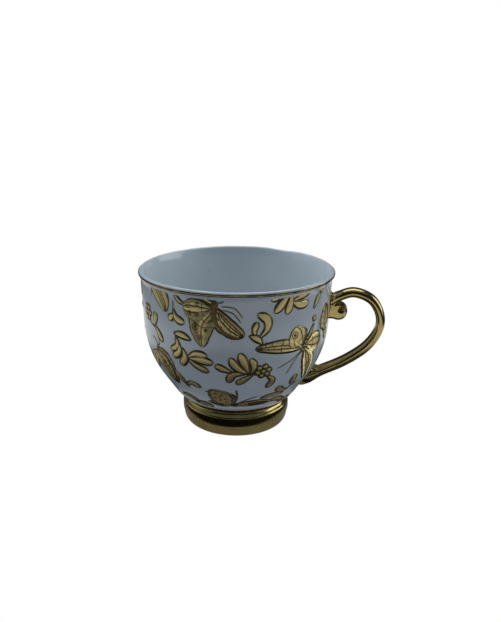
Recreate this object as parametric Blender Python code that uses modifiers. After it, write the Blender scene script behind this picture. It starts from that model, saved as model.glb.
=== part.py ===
"""A teacup: porcelain bowl on a gilded pedestal foot, gilded loop handle with a scroll, raised gold transfers.

Metres, +Z up. The cup stands on Z = 0, its handle points along +X, and the origin is under the middle of the
whole outline, so the bowl's own axis stands at X = CUP_AXIS.
Turned outlines are lists of (radius, height) in millimetres, which MM turns into metres.
"""

import math

import bmesh
import bpy
from mathutils import Vector

MM = 0.001

# Driving dimensions, in millimetres
RIM_RADIUS = 45.0
HEIGHT = 75.2
HANDLE_REACH = 68.4
LIP_RADIUS = 1.05
GILDING = 0.25
GILDING_GAP = 0.15
JOINT_GAP = 0.3
SLIP = 0.6
TRANSFER = 0.3
TRANSFER_GAP = 0.25
BOWL_BASE = 13.6
BOWL_STEPS = 48
FOOT_STEPS = 48

CUP_AXIS = (RIM_RADIUS - HANDLE_REACH) / 2

LIP_CENTRE = (RIM_RADIUS - GILDING - GILDING_GAP - LIP_RADIUS, HEIGHT - LIP_RADIUS)

# The bowl's outside, from its base up to just under the lip
BOWL_OUTSIDE = [
    (24.8, BOWL_BASE), (27.2, 14.8), (29.6, 17.2), (31.6, 20.3), (34.7, 25.0), (38.4, 31.0), (41.1, 37.8),
    (42.6, 44.0), (43.3, 50.5), (43.5, 58.0), (43.6, 66.0), (43.9, 71.5),
]
# The bowl's inside, from just under the lip down to the middle of its floor
BOWL_INSIDE = [
    (41.9, 71.2), (41.5, 66.0), (41.35, 58.0), (41.1, 50.8), (40.4, 44.6), (38.9, 38.6), (36.2, 32.0),
    (32.5, 26.2), (28.4, 22.0), (24.0, 19.6), (18.0, 18.2), (10.0, 17.7), (0.0, 17.6),
]
# The foot's outside, from its neck down to the edge of its standing face
FOOT_OUTSIDE = [
    (24.6, 13.3), (24.1, 12.3), (24.3, 11.4), (25.0, 10.6), (25.6, 10.1), (25.85, 9.4), (25.95, 7.6),
    (25.8, 5.9), (25.45, 5.1), (25.65, 4.3), (25.5, 2.4), (24.9, 0.8), (24.0, 0.0),
]
# The foot's recess, from its standing face up to its top
FOOT_INSIDE = [(21.8, 0.0), (21.2, 0.8), (20.8, 6.0), (20.4, 13.3)]

# The middle of the handle from its upper root to its lower one: distance from the cup's axis and height
HANDLE_PATH = [
    (41.0, 59.6), (47.4, 63.3), (54.2, 65.4), (62.0, 62.4), (66.1, 55.4), (66.0, 48.0), (61.2, 39.5),
    (51.8, 31.9), (41.0, 26.1), (31.6, 20.8),
]
HANDLE_HALF_THICKNESS = 2.0
HANDLE_HALF_WIDTH = 3.4
ROOT_SWELL = 1.3

SCROLL_CENTRE = (47.3, 56.5)
SCROLL_RADIUS = 4.0
SCROLL_WIDTH = 5.8
SCROLL_WEB = ((36.0, 53.2), (47.2, 61.0))
SCROLL_WEB_WIDTH = 5.0
SLIP_FLARE = 0.9

# Raised gold transfers: bearing in degrees, height of the middle, half width round the bowl, half height up it,
# turn in degrees, number of lobes, and how deep the lobes are
SETS = {"front": 0.0, "back": 155.0}
REPEATED = {
    "rim_wing": (-129.5, 69.0, 3.2, 4.0, 25.0, 2, 0.2),
    "berry_sprig": (-139.5, 57.0, 5.0, 4.2, -20.0, 3, 0.15),
    "comma_sprig": (-117.0, 62.6, 2.8, 4.4, 10.0, 2, 0.15),
    "great_moth": (-95.5, 62.0, 12.0, 8.6, -18.0, 4, -0.2),
    "hook_leaf": (-70.8, 60.8, 2.8, 4.6, -15.0, 2, 0.15),
    "rim_petals": (-49.5, 69.3, 8.8, 3.6, 5.0, 5, 0.12),
    "bud_sprig": (-29.5, 69.2, 2.2, 3.8, -25.0, 2, 0.15),
    "root_butterfly": (-18.5, 54.5, 3.0, 6.2, 15.0, 4, -0.15),
    "tall_butterfly": (-43.0, 46.0, 12.5, 9.5, -35.0, 4, -0.25),
    "fan_spray": (-107.0, 46.8, 8.4, 4.8, -10.0, 5, 0.15),
    "side_butterfly": (-131.0, 35.4, 4.2, 5.6, 20.0, 4, -0.15),
    "fork_sprig": (-115.8, 31.2, 3.8, 2.2, -15.0, 2, 0.1),
    "berry_spray": (-76.0, 40.6, 10.5, 4.8, -8.0, 5, 0.15),
    "low_butterfly": (-79.0, 23.4, 8.4, 4.2, -15.0, 4, -0.2),
    "low_sprig": (-49.0, 29.4, 4.6, 3.0, 25.0, 3, 0.12),
    "left_foot_leaf": (-117.0, 19.3, 5.2, 1.8, -12.0, 2, 0.1),
    "right_foot_leaf": (-41.0, 19.3, 3.6, 1.7, 14.0, 2, 0.1),
}
CLOSING = {
    "closing_moth": (178.0, 61.0, 10.5, 8.0, 15.0, 4, -0.2),
    "closing_petals": (160.0, 69.4, 5.6, 3.4, 0.0, 5, 0.12),
    "closing_rim_leaf": (196.0, 70.0, 3.4, 2.6, 0.0, 2, 0.15),
    "closing_spray": (172.0, 42.0, 8.6, 4.8, 12.0, 5, 0.15),
    "closing_sprig": (192.0, 34.6, 4.0, 3.6, -20.0, 3, 0.15),
    "closing_butterfly": (172.0, 26.4, 6.6, 3.8, 10.0, 4, -0.2),
    "closing_foot_leaf": (192.0, 20.6, 4.6, 1.7, 0.0, 2, 0.1),
}
TRANSFER_CELL = 4.2


def clear_scene():
    for old in list(bpy.data.objects):
        bpy.data.objects.remove(old, do_unlink=True)


def new_collection(name, hidden=False):
    collection = bpy.data.collections.new(name)
    bpy.context.scene.collection.children.link(collection)
    collection.hide_render = hidden
    return collection


def new_material(name, color, roughness, metallic):
    material = bpy.data.materials.new(name)
    material.use_nodes = True
    shader = material.node_tree.nodes["Principled BSDF"]
    shader.inputs["Base Color"].default_value = (*color, 1.0)
    shader.inputs["Roughness"].default_value = roughness
    shader.inputs["Metallic"].default_value = metallic
    return material


def add_object(name, data, collection, material=None):
    obj = bpy.data.objects.new(name, data)
    collection.objects.link(obj)
    if material:
        data.materials.append(material)
    return obj


def add_cutter(name, data, collection):
    cutter = add_object(name, data, collection)
    cutter.hide_render = True
    cutter.display_type = "WIRE"
    return cutter


def smooth_through(points, steps):
    """Points on a Catmull-Rom curve through these, with this many steps from each to the next."""
    ends = [Vector(points[0]) * 2 - Vector(points[1]), *map(Vector, points)]
    ends.append(Vector(points[-1]) * 2 - Vector(points[-2]))
    found = []
    for before, start, end, after in zip(ends, ends[1:], ends[2:], ends[3:]):
        for step in range(steps):
            t = step / steps
            found.append(
                0.5 * (2 * start + (end - before) * t + (2 * before - 5 * start + 4 * end - after) * t**2
                       + (3 * start - before - 3 * end + after) * t**3)
            )
    return [*found, Vector(points[-1])]


def arc(centre, radius, start, end, steps):
    """Points on an arc, from one angle to the other in degrees."""
    angles = [math.radians(start + (end - start) * step / steps) for step in range(steps + 1)]
    return [Vector((centre[0] + radius * math.cos(a), centre[1] + radius * math.sin(a))) for a in angles]


def offset_outward(outline, distance):
    """A turned outline that runs upwards, moved out along its normals."""
    moved = []
    for index, point in enumerate(outline):
        along = outline[min(index + 1, len(outline) - 1)] - outline[max(index - 1, 0)]
        moved.append(point + Vector((along.y, -along.x)).normalized() * distance)
    return moved


def turned_mesh(name, outline, closed):
    """The edges of a (radius, height) outline in millimetres, ready for a Screw."""
    mesh = bpy.data.meshes.new(name)
    points = [(r * MM, 0.0, z * MM) for r, z in outline]
    edges = [(i, i + 1) for i in range(len(points) - 1)]
    if closed:
        edges.append((len(points) - 1, 0))
    mesh.from_pydata(points, edges, [])
    return mesh


def turn(obj, steps):
    obj.location.x = CUP_AXIS * MM
    screw = obj.modifiers.new("turn", "SCREW")
    screw.steps = steps
    screw.render_steps = steps
    screw.use_merge_vertices = True
    screw.merge_threshold = 0.01 * MM
    screw.use_smooth_shade = True
    return obj


def bowl_outline():
    outside = smooth_through(BOWL_OUTSIDE, 2)
    inside = [Vector(point) for point in reversed(BOWL_INSIDE)]
    lip = arc(LIP_CENTRE, LIP_RADIUS, 170.0, -20.0, 6)
    return [*inside, *lip, *reversed(outside), Vector((0.0, BOWL_BASE))]


def add_bowl(parts, porcelain):
    return turn(add_object("bowl", turned_mesh("bowl", bowl_outline(), False), parts, porcelain), BOWL_STEPS)


def add_foot(parts, gold):
    outline = [*map(Vector, FOOT_OUTSIDE), *map(Vector, FOOT_INSIDE)]
    return turn(add_object("foot_ring", turned_mesh("foot_ring", outline, True), parts, gold), FOOT_STEPS)


def add_rim_gilding(parts, gold):
    inner = LIP_RADIUS + GILDING_GAP
    outline = arc(LIP_CENTRE, inner + GILDING, 44.0, -34.0, 3) + arc(LIP_CENTRE, inner, -34.0, 44.0, 3)
    mesh = turned_mesh("rim_gilding", outline, True)
    return turn(add_object("rim_gilding", mesh, parts, gold), BOWL_STEPS)


def add_bowl_envelope(name, cutters, clearance, inner):
    """A turned cutter that covers the bowl out to this clearance, and from this inner clearance on."""
    outside = smooth_through(BOWL_OUTSIDE, 2)
    outer = offset_outward(outside, clearance)
    if inner is None:
        outline = [Vector((0.0, outer[-1].y)), *reversed(outer), Vector((0.0, outer[0].y))]
        return turn(add_cutter(name, turned_mesh(name, outline, False), cutters), BOWL_STEPS)
    outline = [*reversed(outer), *offset_outward(outside, inner)]
    return turn(add_cutter(name, turned_mesh(name, outline, True), cutters), BOWL_STEPS)


def add_boolean(obj, operation, other):
    boolean = obj.modifiers.new(other.name, "BOOLEAN")
    boolean.operation = operation
    boolean.object = other


def swept_handle_mesh():
    """The handle's strap: a round sweep along its path, drawn out sideways to its width, as a closed mesh."""
    curve = bpy.data.curves.new("handle_sweep", "CURVE")
    curve.dimensions = "3D"
    curve.bevel_depth = HANDLE_HALF_THICKNESS * MM
    curve.bevel_resolution = 3
    curve.use_fill_caps = True
    route = smooth_through(HANDLE_PATH, 4)
    spline = curve.splines.new("POLY")
    spline.points.add(len(route) - 1)
    for index, (point, place) in enumerate(zip(spline.points, route)):
        point.co = (place.x * MM, 0.0, place.y * MM, 1.0)
        from_lower_end = (len(route) - 1 - index) / (len(route) - 1)
        point.radius = 1 + (ROOT_SWELL - 1) * max(0.0, 1 - from_lower_end * 3)
    helper = bpy.data.objects.new("handle_sweep", curve)
    bpy.context.scene.collection.objects.link(helper)
    graph = bpy.context.evaluated_depsgraph_get()
    mesh = bpy.data.meshes.new_from_object(helper.evaluated_get(graph))
    bpy.data.objects.remove(helper, do_unlink=True)
    shape = bmesh.new()
    shape.from_mesh(mesh)
    bmesh.ops.remove_doubles(shape, verts=shape.verts, dist=0.01 * MM)
    bmesh.ops.scale(shape, verts=shape.verts, vec=(1.0, HANDLE_HALF_WIDTH / HANDLE_HALF_THICKNESS, 1.0))
    bmesh.ops.recalc_face_normals(shape, faces=shape.faces)
    shape.to_mesh(mesh)
    shape.free()
    return mesh


def scroll_mesh():
    """The volute's drum, lying across the handle."""
    mesh = bpy.data.meshes.new("scroll_drum")
    shape = bmesh.new()
    bmesh.ops.create_cone(
        shape, cap_ends=True, segments=28, radius1=SCROLL_RADIUS * MM, radius2=SCROLL_RADIUS * MM,
        depth=SCROLL_WIDTH * MM,
    )
    rims = [edge for edge in shape.edges if abs(edge.verts[0].co.z - edge.verts[1].co.z) < 0.01 * MM]
    bmesh.ops.bevel(shape, geom=rims, offset=0.6 * MM, segments=2, affect="EDGES", profile=0.5)
    for vert in shape.verts:
        vert.co = (vert.co.x + SCROLL_CENTRE[0] * MM, vert.co.z, vert.co.y + SCROLL_CENTRE[1] * MM)
    bmesh.ops.recalc_face_normals(shape, faces=shape.faces)
    shape.to_mesh(mesh)
    shape.free()
    return mesh


def block_mesh(name, low, high, width):
    """A box across the handle between two (distance, height) corners, as wide as given."""
    mesh = bpy.data.meshes.new(name)
    shape = bmesh.new()
    bmesh.ops.create_cube(shape, size=1.0)
    middle = (Vector(low) + Vector(high)) / 2
    for vert in shape.verts:
        vert.co = (
            (middle.x + vert.co.x * (high[0] - low[0])) * MM,
            vert.co.y * width * MM,
            (middle.y + vert.co.z * (high[1] - low[1])) * MM,
        )
    shape.to_mesh(mesh)
    shape.free()
    return mesh


def add_handle(parts, cutters, gold):
    handle = add_object("handle", swept_handle_mesh(), parts, gold)
    handle.location.x = CUP_AXIS * MM
    drum = add_cutter("scroll_drum", scroll_mesh(), cutters)
    web = add_cutter("scroll_web", block_mesh("scroll_web", *SCROLL_WEB, SCROLL_WEB_WIDTH), cutters)
    for piece in (drum, web):
        piece.location.x = CUP_AXIS * MM
        add_boolean(handle, "UNION", piece)
    clearance = JOINT_GAP + SLIP + JOINT_GAP
    add_boolean(handle, "DIFFERENCE", add_bowl_envelope("handle_seat", cutters, clearance, None))
    return handle


def add_slip_joint(name, parts, slip_layer, material, low, high, width):
    """A thin pad of slip that follows the bowl under one root of the handle."""
    pad = add_object(name, block_mesh(name, low, high, width), parts, material)
    pad.location.x = CUP_AXIS * MM
    add_boolean(pad, "INTERSECT", slip_layer)
    return pad


def along_bowl():
    """The bowl's outside as (distance up the outline, point, outward normal), in millimetres."""
    outline = smooth_through(BOWL_OUTSIDE, 6)
    normals = [out - point for out, point in zip(offset_outward(outline, 1.0), outline)]
    rows = [(0.0, outline[0], normals[0])]
    for point, normal in zip(outline[1:], normals[1:]):
        rows.append((rows[-1][0] + (point - rows[-1][1]).length, point, normal))
    return rows


def place_on_bowl(rows, bearing, distance, lift):
    """The point this far up the outline and this far out from the bowl, at a bearing in radians."""
    below = max([i for i, row in enumerate(rows) if row[0] <= distance] or [0])
    below = min(below, len(rows) - 2)
    start, end = rows[below], rows[below + 1]
    part = min(max((distance - start[0]) / (end[0] - start[0]), 0.0), 1.0)
    place = start[1].lerp(end[1], part) + start[2].lerp(end[2], part).normalized() * lift
    return Vector((place.x * math.cos(bearing), place.x * math.sin(bearing), place.y)) * MM, place.x


def transfer_mesh(name, rows, bearing, height, half_width, half_height, tilt, lobes, depth):
    """A lobed outline laid on the bowl: a grid drawn out to the outline, then wrapped round."""
    middle = next(row[0] for row in rows if row[1].y >= height)
    across = max(3, round(2 * half_width / TRANSFER_CELL))
    up = max(3, round(2 * half_height / TRANSFER_CELL))
    tilt = math.radians(tilt)
    radius = place_on_bowl(rows, 0.0, middle, 0.0)[1]
    mesh = bpy.data.meshes.new(name)
    shape = bmesh.new()
    bmesh.ops.create_grid(shape, x_segments=across, y_segments=up, size=1.0)
    for vert in shape.verts:
        reach = max(abs(vert.co.x), abs(vert.co.y))
        angle = math.atan2(vert.co.y, vert.co.x)
        reach *= 1 + depth * math.cos(lobes * angle)
        side = half_width * reach * math.cos(angle)
        rise = half_height * reach * math.sin(angle)
        turned_side = side * math.cos(tilt) - rise * math.sin(tilt)
        turned_rise = side * math.sin(tilt) + rise * math.cos(tilt)
        turned_bearing = math.radians(bearing) + turned_side / radius
        vert.co = place_on_bowl(rows, turned_bearing, middle + turned_rise, TRANSFER_GAP)[0]
    shape.to_mesh(mesh)
    shape.free()
    mesh.shade_smooth()
    return mesh


def add_transfer(name, parts, gold, rows, layout):
    transfer = add_object(name, transfer_mesh(name, rows, *layout), parts, gold)
    transfer.location.x = CUP_AXIS * MM
    solidify = transfer.modifiers.new("raised", "SOLIDIFY")
    solidify.thickness = TRANSFER * MM
    solidify.offset = 1.0
    return transfer


def build():
    clear_scene()
    parts = new_collection("teacup")
    cutters = new_collection("cutters", hidden=True)
    porcelain = new_material("porcelain", (0.80, 0.84, 0.88), 0.12, 0.0)
    slip = new_material("glazed slip", (0.62, 0.50, 0.24), 0.15, 1.0)
    mirror_gold = new_material("mirror gold", (0.66, 0.52, 0.24), 0.12, 1.0)
    rim_gold = new_material("rim gold", (0.62, 0.48, 0.22), 0.2, 1.0)
    raised_gold = new_material("raised gold", (0.56, 0.46, 0.24), 0.45, 1.0)

    add_bowl(parts, porcelain)
    add_foot(parts, mirror_gold)
    add_rim_gilding(parts, rim_gold)
    add_handle(parts, cutters, mirror_gold)
    slip_layer = add_bowl_envelope("slip_layer", cutters, JOINT_GAP + SLIP, JOINT_GAP)
    pads = {
        "upper_slip_joint": ((30.0, SCROLL_WEB[0][1] - SLIP_FLARE), (48.0, 63.6)),
        "lower_slip_joint": ((30.0, 19.0), (40.0, 28.4)),
    }
    for name, (low, high) in pads.items():
        width = 2 * (HANDLE_HALF_WIDTH + SLIP_FLARE)
        add_slip_joint(name, parts, slip_layer, slip, low, high, width)

    rows = along_bowl()
    for side, bearing in SETS.items():
        for name, layout in REPEATED.items():
            add_transfer(f"{name}_{side}", parts, raised_gold, rows, (layout[0] + bearing, *layout[1:]))
    for name, layout in CLOSING.items():
        add_transfer(name, parts, raised_gold, rows, layout)


build()
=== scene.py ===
"""The teacup's looks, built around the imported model: glazed porcelain, mirror gold, and raised gold motifs.

The frame gives places in metres. Shapes are drawn in millimetres from the cup's own axis, and MM turns them
into metres.
"""

import math

import bmesh
import bpy
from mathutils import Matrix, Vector, noise


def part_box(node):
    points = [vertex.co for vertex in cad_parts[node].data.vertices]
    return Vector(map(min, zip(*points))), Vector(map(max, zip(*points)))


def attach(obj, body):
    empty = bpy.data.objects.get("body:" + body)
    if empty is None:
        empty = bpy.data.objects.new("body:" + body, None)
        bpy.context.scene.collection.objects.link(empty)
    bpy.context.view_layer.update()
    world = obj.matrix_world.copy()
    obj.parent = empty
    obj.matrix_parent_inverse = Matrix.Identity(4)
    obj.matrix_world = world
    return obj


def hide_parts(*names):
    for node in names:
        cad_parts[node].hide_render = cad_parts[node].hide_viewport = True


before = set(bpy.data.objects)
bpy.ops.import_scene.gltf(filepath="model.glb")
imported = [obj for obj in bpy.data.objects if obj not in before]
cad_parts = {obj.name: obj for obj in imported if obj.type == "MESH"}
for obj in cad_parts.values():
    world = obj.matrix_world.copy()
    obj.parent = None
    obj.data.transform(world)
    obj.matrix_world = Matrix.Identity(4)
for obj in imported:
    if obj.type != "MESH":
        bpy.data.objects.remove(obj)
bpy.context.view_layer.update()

MM = 0.001

# The bowl's lowest and highest corners give its axis; the rim gilding's give the lip
BOWL_LOW, BOWL_HIGH = (Vector(corner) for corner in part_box("bowl"))
AXIS_X = (BOWL_LOW.x + BOWL_HIGH.x) / 2
RIM_TOP = BOWL_HIGH.z / MM
RIM_RADIUS = (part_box("rim_gilding")[1][0] - AXIS_X) / MM
BOWL_BASE = BOWL_LOW.z / MM

LIP_RADIUS = 1.2
LIP_CENTRE = (RIM_RADIUS - 0.12 - LIP_RADIUS, RIM_TOP - LIP_RADIUS)
# The gold line's top and bottom on the lip, in degrees above its middle
RIM_LINE_SPAN = (20.0, -36.0)
BOWL_OUTSIDE = [
    (24.8, BOWL_BASE), (27.2, 14.8), (29.55, 17.2), (31.6, 20.3), (34.7, 25.0), (38.35, 31.0), (41.1, 37.8),
    (42.55, 44.0), (43.25, 50.5), (43.5, 58.0), (43.6, 66.0), (43.85, 71.5),
]
BOWL_INSIDE = [
    (41.9, 71.2), (41.5, 66.0), (41.35, 58.0), (41.1, 50.8), (40.4, 44.6), (38.9, 38.6), (36.2, 32.0),
    (32.5, 26.2), (28.4, 22.0), (24.0, 19.6), (18.0, 18.2), (10.0, 17.7), (0.0, 17.6),
]
FOOT_OUTSIDE = [
    (24.85, 13.62), (24.45, 13.0), (24.1, 12.3), (24.2, 11.5), (24.7, 10.8), (25.35, 10.3), (25.65, 10.0),
    (25.82, 9.6), (25.88, 9.0), (25.95, 7.8), (25.95, 6.6), (25.92, 5.8), (25.86, 5.3), (25.72, 4.9),
    (25.6, 4.4), (25.5, 3.6), (25.2, 2.0), (24.65, 0.8), (24.0, 0.12), (23.6, 0.0),
]
FOOT_INSIDE = [(21.9, 0.0), (21.5, 0.3), (21.1, 1.4), (20.8, 6.0), (20.4, 13.3), (20.6, 13.62)]
TURN_STEPS = 192

HANDLE_PATH = [
    (43.0, 60.7), (47.4, 63.3), (54.2, 65.4), (62.1, 62.4), (66.4, 55.4), (66.3, 48.0), (61.3, 39.5),
    (51.8, 31.9), (41.0, 26.1), (35.0, 22.6), (32.2, 20.2), (30.9, 18.9),
]
# Half thickness and half width of the strap at each point of its path
HANDLE_SECTIONS = [
    (2.4, 3.7), (2.2, 3.45), (2.15, 3.4), (2.15, 3.4), (2.1, 3.4), (2.1, 3.4), (2.25, 3.45),
    (2.3, 3.5), (2.35, 3.8), (3.0, 4.2), (2.1, 3.6), (1.1, 2.6),
]
SCROLL_CENTRE = (47.5, 56.5)
SCROLL_EYE = (48.7, 57.6)
# Radius, depth and rise of each ring of the eye, which is deepest near its top, so its floor faces up
EYE_ROWS = [
    (0.15, 1.0, 0.75), (0.5, 0.85, 0.55), (0.9, 0.5, 0.3), (1.25, 0.2, 0.1), (1.45, 0.05, 0.0), (1.7, 0, 0),
]
SCROLL_RADIUS = 4.1
SCROLL_HALF_WIDTH = 2.9
STRAP_SIDES = 32
# 2 is an ellipse, and more is squarer
STRAP_SQUARENESS = 2.6
RING_STEPS = 48
HANDLE_VOXEL = 0.22
# Beads of glaze caught in the corners of the roots: (distance, to one side, height) and radius
HANDLE_BEADS = [
    ((44.5, -2.9, 63.8), 1.2), ((44.3, 2.9, 63.2), 1.0), ((38.5, -3.2, 27.4), 1.1), ((38.5, 3.2, 26.8), 1.0),
]

CAMERA_BEARING = 8.0
CAMERA_DISTANCE = 298.4
CAMERA_ELEVATION = 20.8
CAMERA_TARGET_HEIGHT = 37.0
CAMERA_ROLL = 0.43
SENSOR = 36.0
FOCAL_LENGTH = 35.76
CAMERA_SHIFT = (0.0231, 0.0527)

SEEN_FLOOR = (1.0, 1.0, 1.0)
FLOOR_LIGHT = (0.25, 0.275, 0.31)
# The grey that gold mirrors of the floor, by distance from the cup's axis as a share of MIRRORED_REACH
# metres, painted into what glossy rays see: a painted pool of light close to the foot, a painted shadow ring
# of the bowl, then a painted bright band beyond the bowl's shade. The scale of its ovals is first in each,
# and the ovals make the painted shadow narrower at the sides.
MIRRORED_REACH = 0.5
FLOOR_MIRRORED_PAINTED_LIGHT_AND_SHADE = [
    ((0.83, 1.0, 1.0), [(0.0, 0.19), (0.0615, 0.20), (0.067, 0.006), (1.0, 0.0)]),
    ((1.4, 1.0, 1.0), [(0.12, 0.0), (0.155, 0.04), (0.245, 0.05), (0.31, 0.62), (0.46, 0.72), (0.60, 0.10),
                       (0.78, 0.02)]),
]
# Light from along each axis, from its negative end to its positive end: as it falls, and as gold mirrors it
ROOM_LIGHT = [
    ("X", [(0.0, (0.17, 0.22, 0.25)), (0.2, (0.05, 0.064, 0.072)), (0.5, (0.0, 0.0, 0.0)),
           (0.80, (0.02, 0.024, 0.028)), (1.0, (0.30, 0.35, 0.38))]),
    ("Y", [(0.0, (0.006, 0.006, 0.008)), (0.5, (0.012, 0.013, 0.015)), (1.0, (0.03, 0.033, 0.036))]),
    ("Z", [(0.5, (0.0, 0.0, 0.0)), (0.7, (0.045, 0.052, 0.056)), (1.0, (0.16, 0.185, 0.20))]),
]
ROOM_MIRRORED = [
    ("X", [(0.0, (0.48, 0.52, 0.53)), (0.09, (0.16, 0.18, 0.19)), (0.2, (0.0, 0.0, 0.0)),
           (0.88, (0.02, 0.024, 0.028)), (1.0, (0.40, 0.44, 0.46))]),
    ("Y", [(0.0, (0.004, 0.004, 0.004)), (0.5, (0.008, 0.008, 0.009)), (1.0, (0.03, 0.032, 0.034))]),
    ("Z", [(0.5, (0.0, 0.0, 0.0)), (0.88, (0.010, 0.011, 0.012)), (0.95, (0.24, 0.25, 0.26)),
           (1.0, (0.30, 0.32, 0.33))]),
]


# ---- curves and outlines

def smooth_through(points, steps):
    """Points on a Catmull-Rom curve through these, with this many steps from each to the next."""
    ends = [Vector(points[0]) * 2 - Vector(points[1]), *map(Vector, points)]
    ends.append(Vector(points[-1]) * 2 - Vector(points[-2]))
    found = []
    for before, start, end, after in zip(ends, ends[1:], ends[2:], ends[3:]):
        for step in range(steps):
            t = step / steps
            found.append(
                0.5 * (2 * start + (end - before) * t + (2 * before - 5 * start + 4 * end - after) * t**2
                       + (3 * start - before - 3 * end + after) * t**3)
            )
    return [*found, Vector(points[-1])]


def arc(centre, radius, start, end, steps):
    angles = [math.radians(start + (end - start) * step / steps) for step in range(steps + 1)]
    return [Vector((centre[0] + radius * math.cos(a), centre[1] + radius * math.sin(a))) for a in angles]


def to_world(radius, bearing, height):
    return Vector((AXIS_X + radius * MM * math.cos(bearing), radius * MM * math.sin(bearing), height * MM))


def finished(name, shape, materials):
    """The mesh in this bmesh as a smooth object."""
    bmesh.ops.recalc_face_normals(shape, faces=shape.faces)
    mesh = bpy.data.meshes.new(name)
    shape.to_mesh(mesh)
    shape.free()
    mesh.shade_smooth()
    for material in materials:
        mesh.materials.append(material)
    obj = bpy.data.objects.new(name, mesh)
    bpy.context.scene.collection.objects.link(obj)
    return obj


def stands_for(piece, node):
    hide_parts(node)
    return piece


def turned(outline, closed, warp):
    """A lathe in a bmesh: the outline goes from the axis or back to its start, and warp moves each point."""
    shape = bmesh.new()
    rings = []
    for radius, height in outline:
        if radius < 0.001:
            rings.append([shape.verts.new(to_world(0.0, 0.0, height))] * TURN_STEPS)
            continue
        ring = []
        for step in range(TURN_STEPS):
            bearing = 2 * math.pi * step / TURN_STEPS
            ring.append(shape.verts.new(to_world(*warp(radius, bearing, height))))
        rings.append(ring)
    pairs = list(zip(rings, rings[1:]))
    if closed:
        pairs.append((rings[-1], rings[0]))
    for upper, lower in pairs:
        for step in range(TURN_STEPS):
            ahead = (step + 1) % TURN_STEPS
            corners = [upper[step], lower[step], lower[ahead], upper[ahead]]
            shape.faces.new(list(dict.fromkeys(corners)))
    return shape


# ---- the hand-made unevenness of the porcelain

DIP_BEARING = math.radians(64.0)
DIP_DEPTH = 0.5
DIP_SPREAD = 0.16
BACK_RISE = 0.5
TWO_LOBES, THREE_LOBES = 0.10, 0.05
EVEN_BELOW = 30.0


def fired(radius, bearing, height):
    """Where firing leaves a point of the bowl: a little oval, higher at the back, with one dip in the rim."""
    share = max(0.0, height - EVEN_BELOW) / 45.0
    oval = TWO_LOBES * math.cos(2 * bearing) + THREE_LOBES * math.cos(3 * bearing + 1.0)
    off = math.atan2(math.sin(bearing - DIP_BEARING), math.cos(bearing - DIP_BEARING))
    dip = DIP_DEPTH * math.exp(-((off / DIP_SPREAD) ** 2)) - BACK_RISE * max(0.0, math.sin(bearing)) ** 1.5
    return radius + oval * share, bearing, height - dip * share**6


def unwarped(radius, bearing, height):
    return radius, bearing, height


# ---- places on the outside of the bowl

def meridian_rows():
    """The bowl's outside as (distance up it, point, outward normal)."""
    outline = smooth_through(BOWL_OUTSIDE, 8)
    rows, distance = [], 0.0
    for index, point in enumerate(outline):
        along = outline[min(index + 1, len(outline) - 1)] - outline[max(index - 1, 0)]
        if index:
            distance += (point - outline[index - 1]).length
        rows.append((distance, point, Vector((along.y, -along.x)).normalized()))
    return rows


MERIDIAN = meridian_rows()


def row_at(distance):
    below = max([i for i, row in enumerate(MERIDIAN) if row[0] <= distance] or [0])
    below = min(below, len(MERIDIAN) - 2)
    start, end = MERIDIAN[below], MERIDIAN[below + 1]
    part = (distance - start[0]) / (end[0] - start[0])
    return start[1].lerp(end[1], part), start[2].lerp(end[2], min(max(part, 0.0), 1.0)).normalized()


def distance_at(height):
    return next(row[0] for row in MERIDIAN if row[1].y >= height)


def on_bowl(bearing, distance, lift):
    place, normal = row_at(distance)
    place = place + normal * lift
    return to_world(*fired(place.x, bearing, place.y))


# ---- materials

def new_material(name, color, roughness, metallic):
    material = bpy.data.materials.new(name)
    material.use_nodes = True
    shader = material.node_tree.nodes["Principled BSDF"]
    shader.inputs["Base Color"].default_value = (*color, 1.0)
    shader.inputs["Roughness"].default_value = roughness
    shader.inputs["Metallic"].default_value = metallic
    return material, shader


def noise_in(material, scale, detail=2.0):
    """The value of a noise over the object, at this scale per metre."""
    tree = material.node_tree
    place = tree.nodes.new("ShaderNodeTexCoord").outputs["Object"]
    texture = tree.nodes.new("ShaderNodeTexNoise")
    texture.inputs["Scale"].default_value = scale
    texture.inputs["Detail"].default_value = detail
    tree.links.new(place, texture.inputs["Vector"])
    return texture.outputs["Fac"]


def ramp(material, value, stops):
    """A colour ramp over a value, from (position, colour) stops."""
    tree = material.node_tree
    node = tree.nodes.new("ShaderNodeValToRGB")
    for _ in range(len(stops) - 2):
        node.color_ramp.elements.new(0.5)
    for element, (position, color) in zip(node.color_ramp.elements, stops):
        element.position = position
        element.color = (*color, 1.0)
    tree.links.new(value, node.inputs["Fac"])
    return node.outputs["Color"]


def spread(material, value, low, high):
    """A value from 0 to 1 moved to run from low to high."""
    tree = material.node_tree
    node = tree.nodes.new("ShaderNodeMapRange")
    node.inputs["From Min"].default_value = 0.3
    node.inputs["From Max"].default_value = 0.7
    node.inputs["To Min"].default_value = low
    node.inputs["To Max"].default_value = high
    tree.links.new(value, node.inputs["Value"])
    return node.outputs["Result"]


def bump(material, shader, value, depth):
    """Raises the surface by the value, this many millimetres at most."""
    tree = material.node_tree
    node = tree.nodes.new("ShaderNodeBump")
    node.inputs["Strength"].default_value = 1.0
    node.inputs["Distance"].default_value = depth * MM
    tree.links.new(value, node.inputs["Height"])
    tree.links.new(node.outputs["Normal"], shader.inputs["Normal"])


def link(material, output, shader, name):
    material.node_tree.links.new(output, shader.inputs[name])


def mixed(material, blend, first, second):
    """Two colours added or multiplied, as blend says."""
    tree = material.node_tree
    mix = tree.nodes.new("ShaderNodeMix")
    mix.data_type = "RGBA"
    mix.blend_type = blend
    mix.inputs["Factor"].default_value = 1.0
    tree.links.new(first, mix.inputs["A"])
    tree.links.new(second, mix.inputs["B"])
    return mix.outputs["Result"]


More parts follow.
